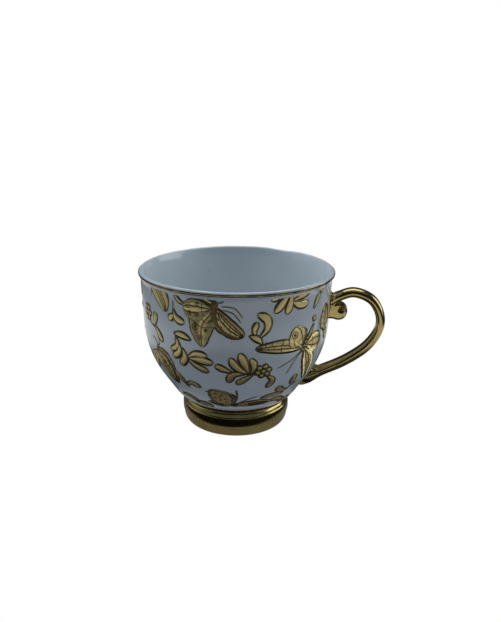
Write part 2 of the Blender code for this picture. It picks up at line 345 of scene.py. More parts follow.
def porcelain_material():
    material, shader = new_material("glazed porcelain", (0.62, 0.70, 0.78), 0.1, 0.0)
    body = noise_in(material, 45.0, 3.0)
    tint = ramp(material, body, [(0.3, (0.63, 0.675, 0.715)), (0.7, (0.69, 0.73, 0.765))])
    dark = (0.25, 0.22, 0.2)
    specks = noise_in(material, 900.0, 0.0)
    specks = ramp(material, specks, [(0.0, dark), (0.115, dark), (0.13, (1.0, 1.0, 1.0))])
    link(material, mixed(material, "MULTIPLY", tint, specks), shader, "Base Color")
    link(material, spread(material, noise_in(material, 120.0), 0.07, 0.16), shader, "Roughness")
    shader.inputs["Coat Weight"].default_value = 0.35
    shader.inputs["Coat Roughness"].default_value = 0.04
    bump(material, shader, noise_in(material, 260.0, 1.0), 0.012)
    return material


def gold_material(base, film, tints, haze, low, high, relief):
    """A gold whose colour follows a film and whose roughness follows a haze, between low and high.

    base is its name, colour, roughness and metalness. film, haze and relief are (scale, detail) of a noise,
    and relief ends with its depth.
    """
    material, shader = new_material(*base)
    pattern = noise_in(material, *film)
    link(material, ramp(material, pattern, tints), shader, "Base Color")
    link(material, spread(material, noise_in(material, *haze), low, high), shader, "Roughness")
    if relief:
        height = pattern if relief[:2] == film else noise_in(material, *relief[:2])
        bump(material, shader, height, relief[2])
    return material


def mirror_gold_material():
    return gold_material(
        ("bright gold", (0.55, 0.43, 0.15), 0.1, 1.0), (160.0, 3.0),
        [(0.3, (0.40, 0.305, 0.115)), (0.55, (0.48, 0.375, 0.145)), (0.75, (0.56, 0.44, 0.18))],
        (700.0, 3.0), 0.07, 0.19, (240.0, 0.0, 0.012),
    )


def rim_gold_material():
    """The brush line: thin, and given a darker base colour than the handle's gold, a painted shade for the
    dark that it mirrors.
    """
    return gold_material(
        ("rim gold painted darker", (0.30, 0.24, 0.11), 0.2, 1.0), (300.0, 3.0),
        [(0.35, (0.12, 0.10, 0.06)), (0.55, (0.30, 0.24, 0.11)), (0.7, (0.52, 0.42, 0.20))],
        (700.0, 3.0), 0.14, 0.30, (300.0, 3.0, 0.02),
    )


def raised_gold_material():
    return gold_material(
        ("raised matt gold", (0.78, 0.64, 0.32), 0.4, 0.85), (4200.0, 2.0),
        [(0.3, (0.80, 0.63, 0.27)), (0.5, (0.90, 0.73, 0.34)), (0.72, (0.96, 0.82, 0.43))],
        (900.0, 2.0), 0.36, 0.55, (4200.0, 2.0, 0.05),
    )


def outline_gold_material():
    return gold_material(
        ("outline gold", (0.11, 0.092, 0.05), 0.35, 0.7), (1600.0, 2.0),
        [(0.3, (0.10, 0.077, 0.034)), (0.7, (0.16, 0.125, 0.056))],
        (2600.0, 2.0), 0.28, 0.45, (1600.0, 2.0, 0.02),
    )


def edge_gold_material():
    return gold_material(
        ("edge gold", (0.38, 0.31, 0.15), 0.3, 0.85), (1400.0, 2.0),
        [(0.3, (0.24, 0.19, 0.09)), (0.7, (0.38, 0.31, 0.15))],
        (2200.0, 2.0), 0.22, 0.4, None,
    )


# ---- the turned pieces

def add_bowl(porcelain):
    outside = smooth_through(BOWL_OUTSIDE, 4)
    inside = smooth_through(BOWL_INSIDE, 4)
    lip = arc(LIP_CENTRE, LIP_RADIUS - 0.05, 160.0, -25.0, 14)
    outline = [*reversed(inside), *lip, *reversed(outside), Vector((0.0, BOWL_BASE))]
    bowl = finished("porcelain_bowl", turned(outline, False, fired), [porcelain])
    return stands_for(bowl, "bowl")


def add_foot(gold):
    outline = [*smooth_through(FOOT_OUTSIDE, 3), *smooth_through(FOOT_INSIDE, 2)]
    foot = finished("gilded_foot", turned(outline, True, unwarped), [gold])
    return stands_for(foot, "foot_ring")


def add_rim(gold):
    """A line from the top of the lip down its outside, partly sunk into the bowl."""
    top, bottom = RIM_LINE_SPAN
    outer = arc(LIP_CENTRE, LIP_RADIUS + 0.10, top, bottom, 9)
    outline = outer + arc(LIP_CENTRE, LIP_RADIUS - 0.12, bottom, top, 6)

    def banded(radius, bearing, height):
        """The brush line's lower edge wavers a little."""
        low = max(0.0, LIP_CENTRE[1] - 0.3 - height)
        waver = 0.35 * noise.noise(Vector((math.cos(bearing) * 3, math.sin(bearing) * 3, 0.4)))
        return fired(radius, bearing, height + low * waver)

    rim = finished("gold_rim_line", turned(outline, True, banded), [gold])
    return stands_for(rim, "rim_gilding")


# ---- the handle

def superellipse(half_thick, half_wide):
    """Points of a strap's section, flatter than an ellipse, as (in the handle's plane, across it)."""
    power = 2 / STRAP_SQUARENESS
    points = []
    for step in range(STRAP_SIDES):
        angle = 2 * math.pi * step / STRAP_SIDES
        c, s = math.cos(angle), math.sin(angle)
        points.append((
            half_thick * math.copysign(abs(c) ** power, c),
            half_wide * math.copysign(abs(s) ** power, s),
        ))
    return points


def skinned(shape, rings):
    """Faces from each ring of points to the next. A ring may be one point repeated."""
    for first, second in zip(rings, rings[1:]):
        for step in range(len(first)):
            ahead = (step + 1) % len(first)
            corners = [first[step], first[ahead], second[ahead], second[step]]
            shape.faces.new(list(dict.fromkeys(corners)))
    shape.faces.new(reversed(rings[0]))


def swept_strap(shape):
    route = smooth_through(HANDLE_PATH, 10)
    sections = smooth_through(HANDLE_SECTIONS, 10)
    rings = []
    for index, (place, section) in enumerate(zip(route, sections)):
        along = (route[min(index + 1, len(route) - 1)] - route[max(index - 1, 0)]).normalized()
        out = Vector((-along.y, along.x))
        ring = []
        for thick, wide in superellipse(max(section.x, 0.8), max(section.y, 1.5)):
            at = place + out * thick
            ring.append(shape.verts.new((AXIS_X + at.x * MM, wide * MM, at.y * MM)))
        rings.append(ring)
    skinned(shape, rings)
    shape.faces.new(rings[-1])


def ring_across(shape, centre, radius, side):
    """A circle of points in the handle's plane, this far to one side of it."""
    points = []
    for step in range(RING_STEPS):
        turn = 2 * math.pi * step / RING_STEPS
        distance, height = centre[0] + radius * math.cos(turn), centre[1] + radius * math.sin(turn)
        points.append(shape.verts.new((AXIS_X + distance * MM, side * MM, height * MM)))
    return points


def scroll_drum(shape):
    """The volute: a drum across the handle with rounded rims, and a round eye sunk in each face."""
    rows = [((SCROLL_EYE[0], SCROLL_EYE[1] + up), radius, -depth) for radius, depth, up in EYE_ROWS]
    round_over = 1.0
    corner_arc = arc((SCROLL_RADIUS - round_over, -round_over), round_over, 90, 0, 6)
    corner = [(SCROLL_CENTRE, p.x, p.y) for p in corner_arc]
    half = [*rows, *corner]
    rings = [ring_across(shape, centre, r, -SCROLL_HALF_WIDTH - rise) for centre, r, rise in half]
    rings += [ring_across(shape, centre, r, SCROLL_HALF_WIDTH + rise) for centre, r, rise in reversed(half)]
    skinned(shape, rings)
    shape.faces.new(rings[-1])


def rounded_block(shape, low, high, half_width, round_over):
    """A block across the handle between two (distance, height) corners, with rounded edges."""
    made = bmesh.ops.create_cube(shape, size=1.0)["verts"]
    for vert in made:
        vert.co = (
            AXIS_X + ((low[0] + high[0]) / 2 + vert.co.x * (high[0] - low[0])) * MM,
            2 * half_width * vert.co.y * MM,
            ((low[1] + high[1]) / 2 + vert.co.z * (high[1] - low[1])) * MM,
        )
    edges = list({edge for vert in made for edge in vert.link_edges})
    bmesh.ops.bevel(shape, geom=edges, offset=round_over * MM, segments=4, affect="EDGES", profile=0.5)


def gold_bead(shape, place, radius):
    made = bmesh.ops.create_icosphere(shape, subdivisions=3, radius=radius * MM)["verts"]
    for vert in made:
        vert.co = vert.co + Vector((AXIS_X + place[0] * MM, place[1] * MM, place[2] * MM))


def voxel_joined(name, shape, materials, voxel, relax):
    """The overlapping shapes in this bmesh made one smooth skin, as a casting under glaze is."""
    obj = finished(name, shape, materials)
    remesh = obj.modifiers.new("join", "REMESH")
    remesh.mode = "VOXEL"
    remesh.voxel_size = voxel * MM
    remesh.use_smooth_shade = True
    smooth = obj.modifiers.new("relax", "SMOOTH")
    smooth.factor = 0.5
    smooth.iterations = relax
    graph = bpy.context.evaluated_depsgraph_get()
    mesh = bpy.data.meshes.new_from_object(obj.evaluated_get(graph))
    obj.modifiers.clear()
    obj.data = mesh
    mesh.shade_smooth()
    return obj


def add_handle(gold):
    shape = bmesh.new()
    swept_strap(shape)
    scroll_drum(shape)
    rounded_block(shape, (42.6, 52.9), (46.3, 61.5), SCROLL_HALF_WIDTH, 0.9)
    for place, radius in HANDLE_BEADS:
        gold_bead(shape, place, radius)
    bmesh.ops.recalc_face_normals(shape, faces=shape.faces)
    handle = voxel_joined("gilded_handle", shape, [gold], HANDLE_VOXEL, 9)
    return stands_for(handle, "handle")


# How the slip mound climbs from the bowl: share of its size, and height
MOUND_ROWS = [(1.0, -0.1), (0.97, 0.08), (0.9, 0.22), (0.8, 0.5), (0.72, 0.9), (0.66, 1.25), (0.0, 1.3)]


def add_slip_mound(name, node, gold, height, half_width, half_height, lean):
    """The bead of glazed slip round one root of the handle, following the bowl."""
    shape = bmesh.new()
    middle = distance_at(height)
    reach = row_at(middle)[0].x
    rings = []
    for share, lift in MOUND_ROWS:
        if share == 0.0:
            rings.append([shape.verts.new(on_bowl(0.0, middle, lift))] * RING_STEPS)
            continue
        ring = []
        for step in range(RING_STEPS):
            angle = 2 * math.pi * step / RING_STEPS
            side = half_width * share * math.cos(angle)
            rise = half_height * share * math.sin(angle) + lean * lift
            ring.append(shape.verts.new(on_bowl(side / reach, middle + rise, lift)))
        rings.append(ring)
    skinned(shape, rings)
    mound = finished(name, shape, [gold])
    return stands_for(mound, node)


# ---- raised gold motifs

EDGE, LINE, FILL = 0, 1, 2
# How a raised shape climbs from its rim: (distance in, height, material from here inwards)
CLIMB = [(0.0, -0.06, EDGE), (0.04, 0.07, EDGE), (0.13, 0.08, LINE), (0.16, 0.12, LINE), (0.92, 0.11, FILL),
         (1.0, 0.23, FILL), (1.16, 0.28, FILL)]
# The material outwards from each of those places
BEFORES = [EDGE, *[index for _, _, index in CLIMB[:-1]]]
BORDER = 0.92
RAISED_STEPS = 24
DISC_SIDES = 20


def leaf_width(t):
    """Pointed at both ends."""
    return max(0.02, math.sin(math.pi * t) ** 0.75)


def drop_width(t):
    """Pointed where it starts and round where it ends."""
    return max(0.02, math.sin(math.pi * t**1.9) ** 0.5)


def club_width(t):
    """Nearly even, with round ends."""
    return max(0.02, min(1.0, 1.5 * math.sqrt(max(0.0, math.sin(math.pi * t)))))


class Motif:
    """One raised motif, drawn in millimetres on the bowl around a bearing and a height."""

    def __init__(self, bearing, height, grow=1.0, flip=1.0):
        self.shape = bmesh.new()
        self.bearing = math.radians(bearing)
        self.middle = distance_at(height)
        self.radius = row_at(self.middle)[0].x
        self.grow = grow
        self.flip = flip

    def vert(self, at, lift):
        bearing = self.bearing + self.flip * self.grow * at.x / self.radius
        distance = min(self.middle + self.grow * at.y, MERIDIAN[-1][0] + 1.6)
        return self.shape.verts.new(on_bowl(bearing, max(distance, -0.4), lift))

    def loft(self, spine, stations, sections, bow=0.0):
        """Faces between sections set across a spine. A section lists (offset, lift, material), left to right.

        bow bends the sections back at their ends, so that what crosses them is an arc.
        """
        route = smooth_through([Vector(p) for p in spine], 12)
        lengths = [0.0]
        for a, b in zip(route, route[1:]):
            lengths.append(lengths[-1] + (b - a).length)
        rings = []
        for t, section in zip(stations, sections):
            want = t * lengths[-1]
            index = max(i for i, length in enumerate(lengths[:-1]) if length <= want + 1e-9)
            part = (want - lengths[index]) / (lengths[index + 1] - lengths[index])
            at = route[index].lerp(route[index + 1], part)
            ahead = route[min(index + 2, len(route) - 1)] - route[max(index - 1, 0)]
            left = Vector((-ahead.y, ahead.x)).normalized()
            onward = ahead.normalized() * -bow
            ring = [self.vert(at - left * offset + onward * offset**2, lift) for offset, lift, _ in section]
            rings.append(ring)
        for number, (first, second) in enumerate(zip(rings, rings[1:])):
            for column in range(len(first) - 1):
                corners = [first[column], first[column + 1], second[column + 1], second[column]]
                self.shape.faces.new(corners).material_index = sections[number][column][2]
            self.shape.faces.new([first[-1], first[0], second[0], second[-1]]).material_index = LINE
        for ring in (rings[0], rings[-1]):
            self.shape.faces.new(ring).material_index = EDGE

    def raised(self, spine, width, half, dark=False):
        """A leaf, petal, drop or berry: a bright cushion inside a dark line inside a thin bright edge."""
        route = [Vector(p) for p in spine]
        length = sum((b - a).length for a, b in zip(route, route[1:]))
        route[0] += (route[0] - route[1]).normalized() * BORDER
        route[-1] += (route[-1] - route[-2]).normalized() * BORDER
        whole = length + 2 * BORDER
        stations = [(1 - math.cos(math.pi * step / RAISED_STEPS)) / 2 for step in range(RAISED_STEPS + 1)]
        sections = []
        for t in stations:
            along = t * whole
            inner = half * width((along - BORDER) / length) if BORDER < along < whole - BORDER else 0.0
            end = min(1.0, along / BORDER, (whole - along) / BORDER)
            w = inner + BORDER * math.sqrt(max(0.0, 1 - (1 - end) ** 2))
            w = max(w, (half + BORDER) * width(t)) + 0.02
            rise = min(1.0, 0.3 + inner)
            side = []
            for number, (inset, lift, index) in enumerate(CLIMB):
                offset = min(-w + inset, -0.004 * (len(CLIMB) - number))
                side.append((offset, lift * (rise if lift > 0.2 else 1), index))
            lifted = 0.30 * rise if inner > 0.3 else side[-1][1]
            ends = zip(reversed(side), reversed(BEFORES))
            back = [(-offset, lift, before) for (offset, lift, _), before in ends]
            section = [*side, (0.0, lifted, FILL), *back]
            if dark:
                section = [(o, l, LINE if m == FILL else m) for o, l, m in section]
            sections.append(section)
        self.loft(route, stations, sections)

    def leaf(self, spine, half):
        self.raised(spine, leaf_width, half)

    def drop(self, spine, half):
        self.raised(spine, drop_width, half)

    def berry(self, x, y, radius=0.72):
        """A round cushion with its dark line and edge."""
        rows = [(max(radius + BORDER - inset, radius * 0.4), lift, index) for inset, lift, index in CLIMB]
        self.disc(x, y, rows)

    def dot(self, x, y, radius, lift, material):
        """A small raised disc, on the bowl or on a wing."""
        self.disc(x, y, [(radius, lift - 0.1, material), (radius * 0.9, lift + 0.08, material),
                         (radius * 0.5, lift + 0.13, material)])

    def disc(self, x, y, rows):
        """Concentric rings round a place, from (radius, lift, material), outermost first."""
        rings = []
        for reach, lift, _ in rows:
            rings.append([
                self.vert(Vector((x + reach * math.cos(turn), y + reach * math.sin(turn))), lift)
                for turn in (2 * math.pi * step / DISC_SIDES for step in range(DISC_SIDES))
            ])
        self.shape.faces.new(rings[0]).material_index = EDGE
        self.shape.faces.new(rings[-1]).material_index = rows[-1][2]
        for (_, _, index), first, second in zip(rows, rings, rings[1:]):
            for step in range(DISC_SIDES):
                ahead = (step + 1) % DISC_SIDES
                corners = [first[step], first[ahead], second[ahead], second[step]]
                self.shape.faces.new(corners).material_index = index

    def ruffle(self, points, half=0.26):
        """A dark line drawn on top of a wing."""
        self.stroke(points, half, LINE, 0.22)

    def stipple(self, places, reach, drop, half=0.26):
        """Short dark bent dashes on top of a wing, one at each place."""
        for x, y in places:
            self.ruffle([(x - reach, y - drop), (x, y), (x + reach, y - drop)], half)

    def cluster(self, x, y, wide, high, turn, radius):
        """A berry and six round it."""
        self.berry(x, y, radius)
        for step in range(6):
            angle = math.radians(60 * step + turn)
            self.berry(x + wide * math.cos(angle), y + high * math.sin(angle), radius)

    def stroke(self, spine, half=0.34, material=EDGE, lift=0.0):
        """A thin drawn line, such as a stalk or an antenna."""
        steps = 16
        stations = [step / steps for step in range(steps + 1)]
        sections = []
        for t in stations:
            w = half * club_width(t)
            sections.append([
                (-w, lift - 0.06, material), (-w * 0.6, lift + 0.10, material), (0.0, lift + 0.13, material),
                (w * 0.6, lift + 0.10, material), (w, lift - 0.06, material),
            ])
        self.loft(spine, stations, sections)

    def wing(self, spine, left, right, veins=(), bars=(), tip=1.0, scallops=0, margins=(0, 0), blunt=0.12):
        """A wing from its root to its tip. left and right are its half widths at even stations.

        Veins run at these shares of the half width (-1 left edge, 1 right edge), and bars cross it at these
        shares of its length. It is dark past tip and within its two margins, in millimetres. blunt is the
        share of its length that rounds off its tip.
        """
        route = [Vector(p) for p in spine]
        half_bar = 0.2 / sum((b - a).length for a, b in zip(route, route[1:]))
        stations = sorted(
            {round((1 - math.cos(math.pi * step / 30)) / 2, 5) for step in range(31)}
            | {round(bar + side * half_bar, 5) for bar in bars for side in (-1, 1)}
        )
        lefts = smooth_through([Vector((w, 0.0)) for w in left], 10)
        rights = smooth_through([Vector((w, 0.0)) for w in right], 10)
        sections = []
        for t in stations:
            wave = 1 + 0.07 * abs(math.sin(scallops * math.pi * t)) if scallops else 1
            wave *= math.sqrt(max(0.001, 1 - max(0.0, (t - 1 + blunt) / blunt) ** 2))
            place = t * (len(lefts) - 1)
            index = min(int(place), len(lefts) - 2)
            w_left = max(0.05, lefts[index].lerp(lefts[index + 1], place - index).x * wave)
            w_right = max(0.05, rights[index].lerp(rights[index + 1], place - index).x * wave)
            on_bar = any(-1e-4 < t - bar + half_bar < 1.9 * half_bar for bar in bars)
            sections.append(self.wing_section(w_left, w_right, veins, on_bar or t > tip, margins))
        self.loft(spine, stations, sections, 0.07)

    def wing_section(self, w_left, w_right, veins, dark, margins):
        squeeze = min(1.0, (w_left + w_right) / 3.6)
        inner = LINE if dark else FILL
        groove = 0.3 * squeeze
        columns = [(-w_left + inset * squeeze, lift * squeeze, index) for inset, lift, index in CLIMB]
        reach_left = w_left - (CLIMB[-1][0] + margins[0]) * squeeze
        reach_right = w_right - (CLIMB[-1][0] + margins[1]) * squeeze
        columns[-1] = (*columns[-1][:2], LINE)
        columns.append((-reach_left, 0.28 * squeeze, inner))
        for vein in veins:
            at = vein * (reach_right if vein > 0 else reach_left) * 0.94
            columns += [
                (at - groove, 0.28 * squeeze, LINE), (at - groove * 0.4, 0.18 * squeeze, LINE),
                (at + groove * 0.4, 0.18 * squeeze, LINE), (at + groove, 0.28 * squeeze, inner),
            ]
        columns.append((reach_right, 0.28 * squeeze, LINE))
        for (inset, lift, _), before in zip(reversed(CLIMB), reversed(BEFORES)):
            columns.append((w_right - inset * squeeze, lift * squeeze, before))
        return columns

    def eye(self, x, y, radius):
        """An eye spot: a dark ring and a dark pupil on a wing."""
        ring = [
            (x + radius * math.cos(2 * math.pi * step / 12), y + radius * math.sin(2 * math.pi * step / 12))
            for step in range(12)
        ]
        self.ruffle([*ring, ring[0]], 0.26)
        self.dot(x, y, radius * 0.5, 0.24, LINE)

    def add(self, name, node, materials):
        return stands_for(finished(name, self.shape, materials), node)


def draw_great_moth(m):
    """A moth seen from above, head up: a round and a broad wing to the left, one long wing to the right."""
    m.wing([(-0.6, -2.4), (-7.0, -3.0), (-14.0, -3.0)],
           [1.0, 3.2, 4.4, 5.0, 5.2, 4.6], [1.0, 2.8, 4.2, 4.8, 4.8, 4.4],
           veins=(-0.35, 0.4), bars=(0.34,), scallops=5, blunt=0.24)
    m.wing([(-1.0, -4.0), (-5.0, -10.2), (-5.2, -19.4)],
           [1.0, 4.4, 5.6, 5.0, 3.4, 1.6], [1.0, 4.4, 6.2, 5.8, 4.0, 1.6],
           veins=(0.05,), bars=(0.3, 0.47), scallops=5)
    m.wing([(0.4, -1.6), (6.0, -7.6), (12.4, -14.0)],
           [0.8, 1.6, 2.0, 2.2, 2.2, 1.6], [1.0, 4.4, 5.8, 6.0, 5.2, 3.0],
           veins=(-0.35, 0.2, 0.6), tip=0.88, scallops=4, margins=(0.0, 1.6), blunt=0.1)
    for x, y, radius in ((-11.4, -1.6, 1.05), (-10.6, -4.8, 0.9), (-7.0, -0.6, 0.8), (-7.4, -5.0, 0.9),
                         (-8.2, -10.4, 1.35), (-6.0, -15.0, 1.15), (-3.6, -11.6, 0.6)):
        m.eye(x, y, radius)
    m.raised([(0.2, 0.8), (-0.2, -3.5), (-0.8, -8.6)], club_width, 0.85, dark=True)
    for side, low in ((-1.3, -1.6), (1.2, -2.6), (-1.5, -4.0), (1.1, -5.2), (-1.6, -6.6)):
        m.ruffle([(side * 0.2, low), (side * 0.9, low - 0.6), (side * 1.7, low - 1.8)], 0.4)
    for x, y in ((2.4, -3.6), (4.6, -6.0), (7.0, -8.4), (9.2, -10.6)):
        m.ruffle([(x, y), (x - 0.5, y - 1.8), (x - 0.2, y - 3.8)])
    m.raised([(-0.8, 0.2), (-2.8, 1.2), (-5.2, 2.4)], club_width, 0.28)
    m.stroke([(0.6, 0.6), (2.4, 0.4), (4.2, 1.2)], 0.45)
    m.stroke([(2.6, -1.0), (8.4, -1.7), (12.0, -6.0)], 0.4)
    m.stroke([(3.4, -2.4), (8.0, -4.0), (11.2, -8.0)], 0.4)
    m.drop([(-13.4, -1.4), (-15.6, -0.6), (-17.6, 1.6)], 0.4)
    m.dot(7.2, -16.6, 0.55, 0.0, FILL)


def draw_tall_butterfly(m):
    """A butterfly side on: a long wing to the left, a round one above, two more to the right and below."""
    m.wing([(-0.8, -0.6), (-11.5, 1.2), (-23.8, 2.0)],
           [0.8, 2.2, 2.8, 2.8, 2.2, 1.4], [0.8, 3.0, 4.0, 3.8, 2.8, 1.4],
           veins=(-0.3, 0.4), bars=(0.5,), tip=0.84, blunt=0.1)
    m.wing([(-0.8, 1.4), (-3.4, 5.2), (-5.6, 9.6)], [1.6, 5.4, 7.2, 7.2, 5.6], [1.2, 3.6, 5.0, 5.4, 4.2],
           veins=(0.5,), bars=(0.3,), margins=(0.5, 0.5), blunt=0.4)
    m.wing([(1.0, 0.0), (6.5, 0.2), (13.0, 0.0)],
           [0.8, 2.6, 4.0, 4.6, 4.4, 3.0], [0.8, 3.0, 4.8, 5.8, 5.4, 3.4],
           veins=(-0.45, 0.4), bars=(0.4,), tip=0.76, scallops=4, blunt=0.16)
    m.wing([(0.6, -1.6), (4.6, -10.4), (8.4, -20.4)],
           [1.0, 3.8, 5.2, 5.2, 3.8, 1.6], [0.8, 2.4, 3.2, 3.0, 2.4, 1.2],
           veins=(-0.4, 0.15), bars=(0.48,), scallops=5)
    m.eye(-5.6, 5.8, 1.5)
    m.raised([(2.8, 4.6), (0.8, 0.8), (-1.2, -2.6)], leaf_width, 0.7, dark=True)
    for along in (-1.6, 0.0, 1.6, 3.2):
        m.stroke([(along * 0.5 - 0.4, along + 0.2), (along * 0.5 + 0.5, along - 0.2)], 0.25, FILL, 0.26)
    for x, y in ((-4.4, 0.4), (-7.2, 0.8), (-10.0, 1.4), (-15.0, 1.6), (-17.8, 1.8)):
        m.ruffle([(x, y), (x - 1.4, y + 1.2), (x - 1.4, y + 3.2)])
    for x, y in ((3.6, -7.0), (4.8, -10.0), (6.0, -13.0)):
        m.ruffle([(x, y), (x + 1.8, y + 0.8), (x + 3.6, y + 0.2)])
    m.leaf([(1.6, 2.0), (3.4, 4.4), (5.6, 8.0)], 0.3)
    m.stroke([(-0.8, -1.8), (-6.0, -5.6), (-13.4, -8.8)], 0.38)
    m.stroke([(-0.6, -2.2), (-4.6, -6.8), (-7.4, -12.8)], 0.42)


def draw_low_butterfly(m):
    """A butterfly near the foot: one stippled wing up, one flat wing along the foot."""
    m.wing([(-0.6, 0.6), (-4.4, 5.0), (-8.8, 11.6)],
           [1.0, 4.4, 5.8, 5.6, 4.8, 2.6], [1.0, 3.6, 5.2, 5.6, 5.0, 3.0],
           tip=0.93, scallops=4, margins=(0.9, 0.9), blunt=0.3)
    m.stipple(((-3.0, 2.4), (-3.4, 5.0), (-5.6, 3.8), (-5.4, 6.6), (-7.6, 5.4), (-7.0, 8.8), (-9.2, 7.4),
               (-8.2, 11.0), (-4.6, 8.4), (-6.2, 10.8), (-10.2, 9.6)), 0.6, 0.3, 0.3)
    m.wing([(-0.8, -0.2), (-6.4, 0.4), (-11.6, 1.2)],
           [0.6, 1.8, 2.2, 2.0, 1.6, 0.8], [0.6, 1.6, 2.2, 2.0, 1.6, 0.8],
           veins=(0.0,), tip=0.3)
    m.wing([(0.6, -0.2), (8.0, 0.4), (17.0, 0.4)],
           [0.6, 2.2, 3.0, 3.2, 2.8, 1.6], [0.6, 1.6, 2.0, 2.0, 1.8, 1.0],
           veins=(0.0,), tip=0.3)
    m.raised([(-1.8, 0.4), (0.2, 0.0), (2.4, -0.2)], leaf_width, 0.8, dark=True)
    m.stroke([(0.2, 0.8), (1.3, 5.8), (0.9, 12.4)], 0.5)
    m.stroke([(0.8, 0.6), (5.0, 3.8), (9.8, 6.6)], 0.5)


def draw_side_butterfly(m):
    """A butterfly with folded wings, head up."""
    m.wing([(-3.4, 6.4), (0.6, 0.2), (4.4, -10.0)],
           [3.4, 5.4, 6.2, 5.6, 3.8, 1.6], [3.0, 5.0, 5.6, 5.0, 3.6, 1.6],
           veins=(-0.3, 0.25), bars=(0.44,), tip=0.8, scallops=5, margins=(1.6, 0.6))
    m.wing([(-4.6, 6.0), (-7.6, 2.0), (-9.6, -4.4)],
           [0.8, 2.2, 3.0, 2.8, 2.0, 1.0], [0.8, 2.2, 3.0, 2.8, 2.0, 1.0],
           veins=(0.0,), bars=(0.4,), scallops=4)
    m.eye(0.2, 2.0, 1.2)
    m.stipple(((-1.4, 4.0), (2.0, 0.0), (0.8, -2.6), (3.2, -4.2), (-1.6, 0.6)), 0.6, 0.3, 0.3)
    m.raised([(-2.6, 9.2), (-3.6, 6.2), (-5.0, 2.8)], leaf_width, 0.6, dark=True)
    m.stroke([(-2.4, 8.8), (-1.2, 11.4), (-2.0, 13.8)], 0.4)
    m.stroke([(-3.0, 8.8), (-4.2, 11.6), (-6.4, 12.8)], 0.4)


def draw_root_butterfly(m):
    """A small moth with its wings upright."""
    # The wing's dark top and its wide dark margin on the handle's side are partly the print's dark wing and
    # partly painted shade by the handle's root.
    m.wing([(0.4, -4.6), (-0.2, 0.6), (0.4, 7.8)],
           [0.8, 3.4, 4.8, 4.8, 4.0, 2.4], [0.8, 3.8, 5.6, 5.8, 5.0, 3.2],
           veins=(-0.35, 0.1), tip=0.86, scallops=5, margins=(0.3, 2.6))
    m.stipple(((-2.6, -0.6), (-2.8, 2.2), (-2.4, 4.8), (0.4, 0.8), (0.4, 3.8)), 1.0, 0.4)
    m.wing([(0.8, -4.0), (2.4, -6.4), (3.2, -9.6)],
           [0.6, 1.8, 2.4, 2.2, 1.2], [0.6, 1.8, 2.4, 2.2, 1.2], veins=(0.0,))
    m.raised([(-1.2, -3.0), (0.2, -4.2), (1.8, -5.6)], leaf_width, 0.5, dark=True)
    m.stroke([(-1.0, -3.4), (-3.2, -3.0), (-4.6, -1.4)], 0.36)


def draw_rim_wing(m):
    """The lower half of a wing that the rim cuts off."""
    m.wing([(-4.4, 4.4), (-0.8, 0.2), (2.6, -6.2)], [4.6, 5.4, 5.2, 4.4, 2.6], [4.4, 5.0, 4.8, 4.2, 2.6],
           veins=(-0.4, -0.1, 0.25), tip=0.9, blunt=0.3)
    m.stroke([(-8.6, 4.4), (-7.8, 1.0), (-8.2, -1.6)], 0.42)


def draw_rim_petals(m):
    """Two tufts of petals that hang from the rim."""
    m.drop([(-2.4, 4.6), (-6.2, 3.8), (-9.8, 2.0)], 0.95)
    m.drop([(-2.0, 4.6), (-5.0, 0.8), (-8.2, -3.2)], 1.3)
    m.drop([(-1.4, 4.6), (-1.6, 0.2), (-3.0, -4.2)], 1.25)
    m.drop([(-1.0, 1.2), (2.0, 3.6), (5.4, 5.6)], 0.9)
    m.drop([(-0.6, 0.6), (4.6, 2.2), (10.4, 5.0)], 1.15)
    m.drop([(-0.6, 0.2), (2.8, -1.8), (7.6, -1.6)], 1.3)


def draw_bud_sprig(m):
    m.berry(2.4, 2.2, 1.1)
    m.leaf([(1.2, 0.8), (-0.4, -1.4), (-2.6, -4.6)], 0.8)
    m.berry(-2.0, -9.8, 0.8)


def draw_fan_spray(m):
    """A stalk with drops on its left and three petals to its right."""
    m.stroke([(-6.4, 10.4), (-4.4, 4.6), (-1.4, 0.6), (0.2, -1.2)], 0.6, LINE)
    m.leaf([(-5.8, 9.2), (-2.2, 9.2), (1.4, 8.0)], 1.0)
    m.drop([(-5.2, 7.4), (-5.0, 3.8), (-8.2, 1.6)], 0.95)
    m.drop([(-4.0, 4.8), (-4.2, 1.2), (-7.4, -1.6)], 1.15)
    m.drop([(-2.2, 2.8), (-1.4, -1.2), (-3.8, -4.6)], 1.2)
    m.drop([(0.2, -0.6), (3.8, 1.6), (8.4, 1.4)], 1.15)
    m.drop([(0.4, -0.9), (5.4, -0.8), (10.9, -1.6)], 1.3)
    m.drop([(0.2, -1.4), (3.6, -3.8), (8.8, -6.2)], 0.95)


def draw_berry_spray(m):
    """Petals, a cluster of berries and leaves that meet at one stalk."""
    m.stroke([(-11.8, 0.4), (-6.0, -1.2), (1.8, -2.2), (6.6, -3.0)], 0.6, LINE)
    m.drop([(-6.4, -1.0), (-9.2, 0.2), (-12.5, 1.8)], 1.0)
    m.drop([(-1.2, -2.0), (-5.6, -2.4), (-7.6, -6.2)], 1.2)
    m.drop([(2.2, -2.8), (-0.4, -4.8), (-3.8, -7.2)], 0.95)
    m.drop([(0.6, -1.6), (-4.2, 1.4), (-6.4, 5.4)], 1.2)
    m.drop([(1.2, -1.4), (-0.8, 2.8), (-2.6, 7.6)], 1.25)
    m.drop([(2.0, -1.6), (3.2, 1.4), (2.0, 5.0)], 1.05)
    m.cluster(7.4, -1.0, 2.5, 2.35, 15, 0.78)
    m.drop([(9.6, -3.8), (12.4, -6.8), (10.6, -10.6)], 1.1)


def draw_berry_sprig(m):
    m.cluster(-4.6, 2.6, 2.4, 2.6, 0, 0.85)
    m.drop([(1.6, -2.2), (2.2, 0.8), (2.8, 3.6)], 1.2)
    m.drop([(1.4, -2.2), (4.0, -4.0), (6.8, -7.6)], 1.0)
    m.stroke([(-3.8, -0.4), (-0.6, -2.2), (1.8, -2.6)], 0.5, LINE)


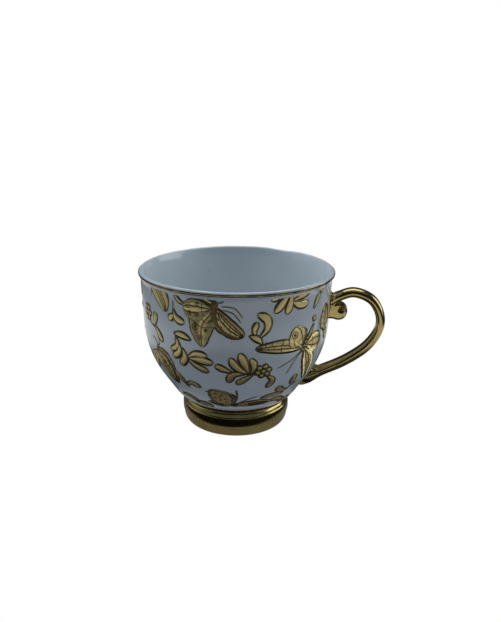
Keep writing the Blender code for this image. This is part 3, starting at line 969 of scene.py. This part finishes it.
def draw_comma_sprig(m):
    m.stroke([(-1.4, 6.0), (-1.5, 3.0), (-0.8, 0.4)], 0.55)
    m.drop([(-1.2, 1.8), (0.0, -1.2), (3.4, -2.6)], 1.15)
    m.drop([(-1.2, -0.2), (-2.4, -1.0), (-3.6, -2.2)], 1.0)
    m.leaf([(-2.2, 12.4), (0.0, 11.4), (2.2, 12.2)], 0.9)


def draw_hook_leaf(m):
    m.drop([(1.6, -5.0), (4.3, -1.8), (4.3, 2.2), (0.8, 4.6)], 1.35)
    m.drop([(-0.6, -4.4), (-1.0, -2.0), (0.0, 0.8)], 0.75)
    m.leaf([(-2.6, -4.6), (0.0, -5.7), (2.0, -7.8)], 0.95)
    m.leaf([(-1.8, 13.6), (1.0, 12.8), (3.8, 13.6)], 1.0)


def draw_fork_sprig(m):
    m.drop([(-0.4, -3.2), (-2.2, 0.4), (-4.8, 4.0)], 0.9)
    m.drop([(-0.2, -2.6), (2.6, -0.6), (6.2, -2.2)], 0.95)
    m.stroke([(-1.4, -1.4), (-0.6, -3.0), (0.2, -4.8)], 0.5, LINE)


def draw_low_sprig(m):
    m.stroke([(1.6, -7.0), (4.4, -3.4), (9.2, 0.6)], 0.55, LINE)
    m.drop([(6.8, -1.0), (5.0, 1.4), (5.6, 4.8)], 1.1)
    m.drop([(4.0, -3.6), (0.6, -3.2), (-2.2, -0.4)], 1.25)
    m.leaf([(2.6, -6.2), (-2.6, -5.8), (-8.8, -6.6)], 1.0)


def draw_foot_leaf(m):
    m.stroke([(-7.4, 1.8), (-3.2, 1.4), (0.4, -0.6), (5.2, -2.2)], 0.6, LINE)
    m.leaf([(-6.8, 2.6), (-3.0, 3.2), (1.2, 1.0)], 0.8)
    m.drop([(0.2, -0.8), (4.0, 0.4), (7.6, -1.6)], 0.7)


# Name of the motif: how it is drawn, its bearing on the front, and its height
MOTIFS = {
    "rim_wing": (draw_rim_wing, -127.5, 69.0),
    "berry_sprig": (draw_berry_sprig, -138.5, 57.0),
    "comma_sprig": (draw_comma_sprig, -117.0, 62.6),
    "great_moth": (draw_great_moth, -94.0, 69.6),
    "hook_leaf": (draw_hook_leaf, -70.8, 60.8),
    "rim_petals": (draw_rim_petals, -49.5, 69.3),
    "bud_sprig": (draw_bud_sprig, -29.5, 69.2),
    "root_butterfly": (draw_root_butterfly, -18.5, 55.5),
    "tall_butterfly": (draw_tall_butterfly, -40.0, 48.4),
    "fan_spray": (draw_fan_spray, -110.5, 44.8),
    "side_butterfly": (draw_side_butterfly, -131.0, 36.4),
    "fork_sprig": (draw_fork_sprig, -115.8, 31.2),
    "berry_spray": (draw_berry_spray, -76.0, 40.6),
    "low_butterfly": (draw_low_butterfly, -83.4, 19.8),
    "low_sprig": (draw_low_sprig, -49.0, 29.4),
    "left_foot_leaf": (draw_foot_leaf, -117.0, 18.6),
    "right_foot_leaf": (draw_foot_leaf, -41.0, 18.0),
}
SETS = {"front": 0.0, "back": 155.0}
# The motifs that close the ring between the two sets: how drawn, bearing, height, growth
CLOSING = {
    "closing_moth": (draw_great_moth, 180.0, 68.6, 0.9),
    "closing_petals": (draw_rim_petals, 160.0, 70.0, 0.7),
    "closing_rim_leaf": (draw_bud_sprig, 197.0, 69.4, 1.0),
    "closing_spray": (draw_fan_spray, 171.0, 42.0, 0.9),
    "closing_sprig": (draw_hook_leaf, 193.0, 36.6, 0.8),
    "closing_butterfly": (draw_low_butterfly, 175.0, 22.4, 0.8),
    "closing_foot_leaf": (draw_foot_leaf, 194.0, 19.6, 0.9),
}


def add_motifs(materials):
    pieces = []
    for side, turn in SETS.items():
        for name, (draw, bearing, height) in MOTIFS.items():
            motif = Motif(bearing + turn, height)
            draw(motif)
            pieces.append(motif.add(f"gold_{name}_{side}", f"{name}_{side}", materials))
    for name, (draw, bearing, height, grow) in CLOSING.items():
        motif = Motif(bearing, height, grow, -1.0)
        draw(motif)
        pieces.append(motif.add(f"gold_{name}", name, materials))
    return pieces


# ---- floor, light and camera

def by_rays(path, rays, usual, special):
    """One shader for one kind of ray, and another for the rest."""
    tree = path.id_data
    mix = tree.nodes.new("ShaderNodeMixShader")
    tree.links.new(path.outputs[rays], mix.inputs["Fac"])
    tree.links.new(usual, mix.inputs[1])
    tree.links.new(special, mix.inputs[2])
    return mix.outputs["Shader"]


def vector_math(tree, operation, vector, other):
    node = tree.nodes.new("ShaderNodeVectorMath")
    node.operation = operation
    node.inputs[1].default_value = other
    tree.links.new(vector, node.inputs[0])
    return node


def mirrored_floor_with_painted_shade(material):
    """The floor's colour as gold mirrors it: painted light round the foot, a painted shadow ring, painted
    light beyond.
    """
    tree = material.node_tree
    place = tree.nodes.new("ShaderNodeNewGeometry").outputs["Position"]
    from_axis = vector_math(tree, "SUBTRACT", place, (AXIS_X, 0.0, 0.0)).outputs["Vector"]
    parts = []
    for shape, stops in FLOOR_MIRRORED_PAINTED_LIGHT_AND_SHADE:
        shaped = vector_math(tree, "MULTIPLY", from_axis, shape).outputs["Vector"]
        distance = vector_math(tree, "LENGTH", shaped, (0.0, 0.0, 0.0)).outputs["Value"]
        share = tree.nodes.new("ShaderNodeMapRange")
        share.inputs["From Max"].default_value = MIRRORED_REACH
        tree.links.new(distance, share.inputs["Value"])
        greys = [(position, (grey, grey, grey)) for position, grey in stops]
        parts.append(ramp(material, share.outputs["Result"], greys))
    return mixed(material, "ADD", *parts)


def stage_material(name):
    """A pale floor. The cup's gold mirrors a floor with a painted shadow ring of the bowl and painted light
    round it.
    """
    material = bpy.data.materials.new(name)
    material.use_nodes = True
    tree = material.node_tree
    tree.nodes.clear()
    path = tree.nodes.new("ShaderNodeLightPath")
    seen, lit, mirrored = (tree.nodes.new("ShaderNodeEmission") for _ in range(3))
    seen.inputs["Color"].default_value = (*SEEN_FLOOR, 1.0)
    lit.inputs["Color"].default_value = (*FLOOR_LIGHT, 1.0)
    tree.links.new(mirrored_floor_with_painted_shade(material), mirrored.inputs["Color"])
    unseen = by_rays(path, "Is Glossy Ray", lit.outputs["Emission"], mirrored.outputs["Emission"])
    surface = by_rays(path, "Is Camera Ray", unseen, seen.outputs["Emission"])
    tree.links.new(surface, tree.nodes.new("ShaderNodeOutputMaterial").inputs["Surface"])
    return material


def add_floor():
    shape = bmesh.new()
    bmesh.ops.create_circle(shape, cap_ends=True, segments=96, radius=1.6)
    floor = finished("floor", shape, [stage_material("pale floor")])
    floor.location.z = -0.0002


def add_area(name, location, size, power, color, mirrored=True):
    light = bpy.data.lights.new(name, "AREA")
    light.shape = "RECTANGLE"
    light.size, light.size_y = size
    light.energy = power
    light.color = color
    obj = bpy.data.objects.new(name, light)
    bpy.context.scene.collection.objects.link(obj)
    obj.location = location
    obj.rotation_euler = (Vector((0, 0, 0.04)) - Vector(location)).to_track_quat("-Z", "Y").to_euler()
    obj.visible_glossy = mirrored


def room_color(world, along, room):
    """The sum of what comes from along each axis."""
    tree = world.node_tree
    total = None
    for axis, stops in room:
        node = tree.nodes.new("ShaderNodeMapRange")
        node.inputs["From Min"].default_value = -1.0
        tree.links.new(along.outputs[axis], node.inputs["Value"])
        color = ramp(world, node.outputs["Result"], stops)
        total = mixed(world, "ADD", total, color) if total else color
    return total


def add_world():
    """A soft room: dark in front, brighter at the sides, behind and overhead."""
    world = bpy.data.worlds.new("soft studio")
    bpy.context.scene.world = world
    world.use_nodes = True
    tree = world.node_tree
    tree.nodes.remove(tree.nodes["Background"])
    path = tree.nodes.new("ShaderNodeLightPath")
    along = tree.nodes.new("ShaderNodeSeparateXYZ")
    tree.links.new(tree.nodes.new("ShaderNodeTexCoord").outputs["Generated"], along.inputs["Vector"])
    lit, mirrored, seen = (tree.nodes.new("ShaderNodeBackground") for _ in range(3))
    tree.links.new(room_color(world, along, ROOM_LIGHT), lit.inputs["Color"])
    tree.links.new(room_color(world, along, ROOM_MIRRORED), mirrored.inputs["Color"])
    seen.inputs["Color"].default_value = (1.0, 1.0, 1.0, 1.0)
    unseen = by_rays(path, "Is Glossy Ray", lit.outputs["Background"], mirrored.outputs["Background"])
    surface = by_rays(path, "Is Camera Ray", unseen, seen.outputs["Background"])
    tree.links.new(surface, tree.nodes["World Output"].inputs["Surface"])


def add_camera():
    data = bpy.data.cameras.new("camera")
    data.sensor_width = SENSOR
    data.lens = FOCAL_LENGTH
    data.shift_x, data.shift_y = CAMERA_SHIFT
    data.clip_start = 0.01
    camera = bpy.data.objects.new("camera", data)
    bpy.context.scene.collection.objects.link(camera)
    bearing, elevation = math.radians(CAMERA_BEARING), math.radians(CAMERA_ELEVATION)
    level = math.cos(elevation)
    back = Vector((math.sin(bearing) * level, -math.cos(bearing) * level, math.sin(elevation)))
    camera.location = Vector((AXIS_X, 0, CAMERA_TARGET_HEIGHT * MM)) + back * CAMERA_DISTANCE * MM
    camera.rotation_euler = (-back).to_track_quat("-Z", "Y").to_euler()
    camera.rotation_euler.rotate_axis("Z", math.radians(CAMERA_ROLL))
    bpy.context.scene.camera = camera


def build():
    porcelain = porcelain_material()
    mirror_gold = mirror_gold_material()
    relief_golds = [edge_gold_material(), outline_gold_material(), raised_gold_material()]
    pieces = [
        add_bowl(porcelain),
        add_foot(mirror_gold),
        add_rim(rim_gold_material()),
        add_handle(mirror_gold),
        add_slip_mound("upper_slip_bead", "upper_slip_joint", mirror_gold, 59.4, 4.3, 6.0, 0.2),
        add_slip_mound("lower_slip_bead", "lower_slip_joint", mirror_gold, 22.9, 5.0, 6.6, 0.1),
        *add_motifs(relief_golds),
    ]
    for piece in pieces:
        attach(piece, "root")


add_camera()
build()
add_floor()
add_world()
add_area("window_left", (-0.38, 0.10, 0.46), (0.5, 0.3), 1.4, (0.86, 0.95, 1.0), mirrored=False)
add_area("window_right", (0.60, 0.20, 0.30), (0.5, 0.4), 1.2, (0.90, 0.96, 1.0))
add_area("ceiling_back", (0.0, 0.35, 0.60), (0.6, 0.4), 1.5, (0.93, 0.98, 1.0))
bpy.context.scene.view_settings.view_transform = "Standard"
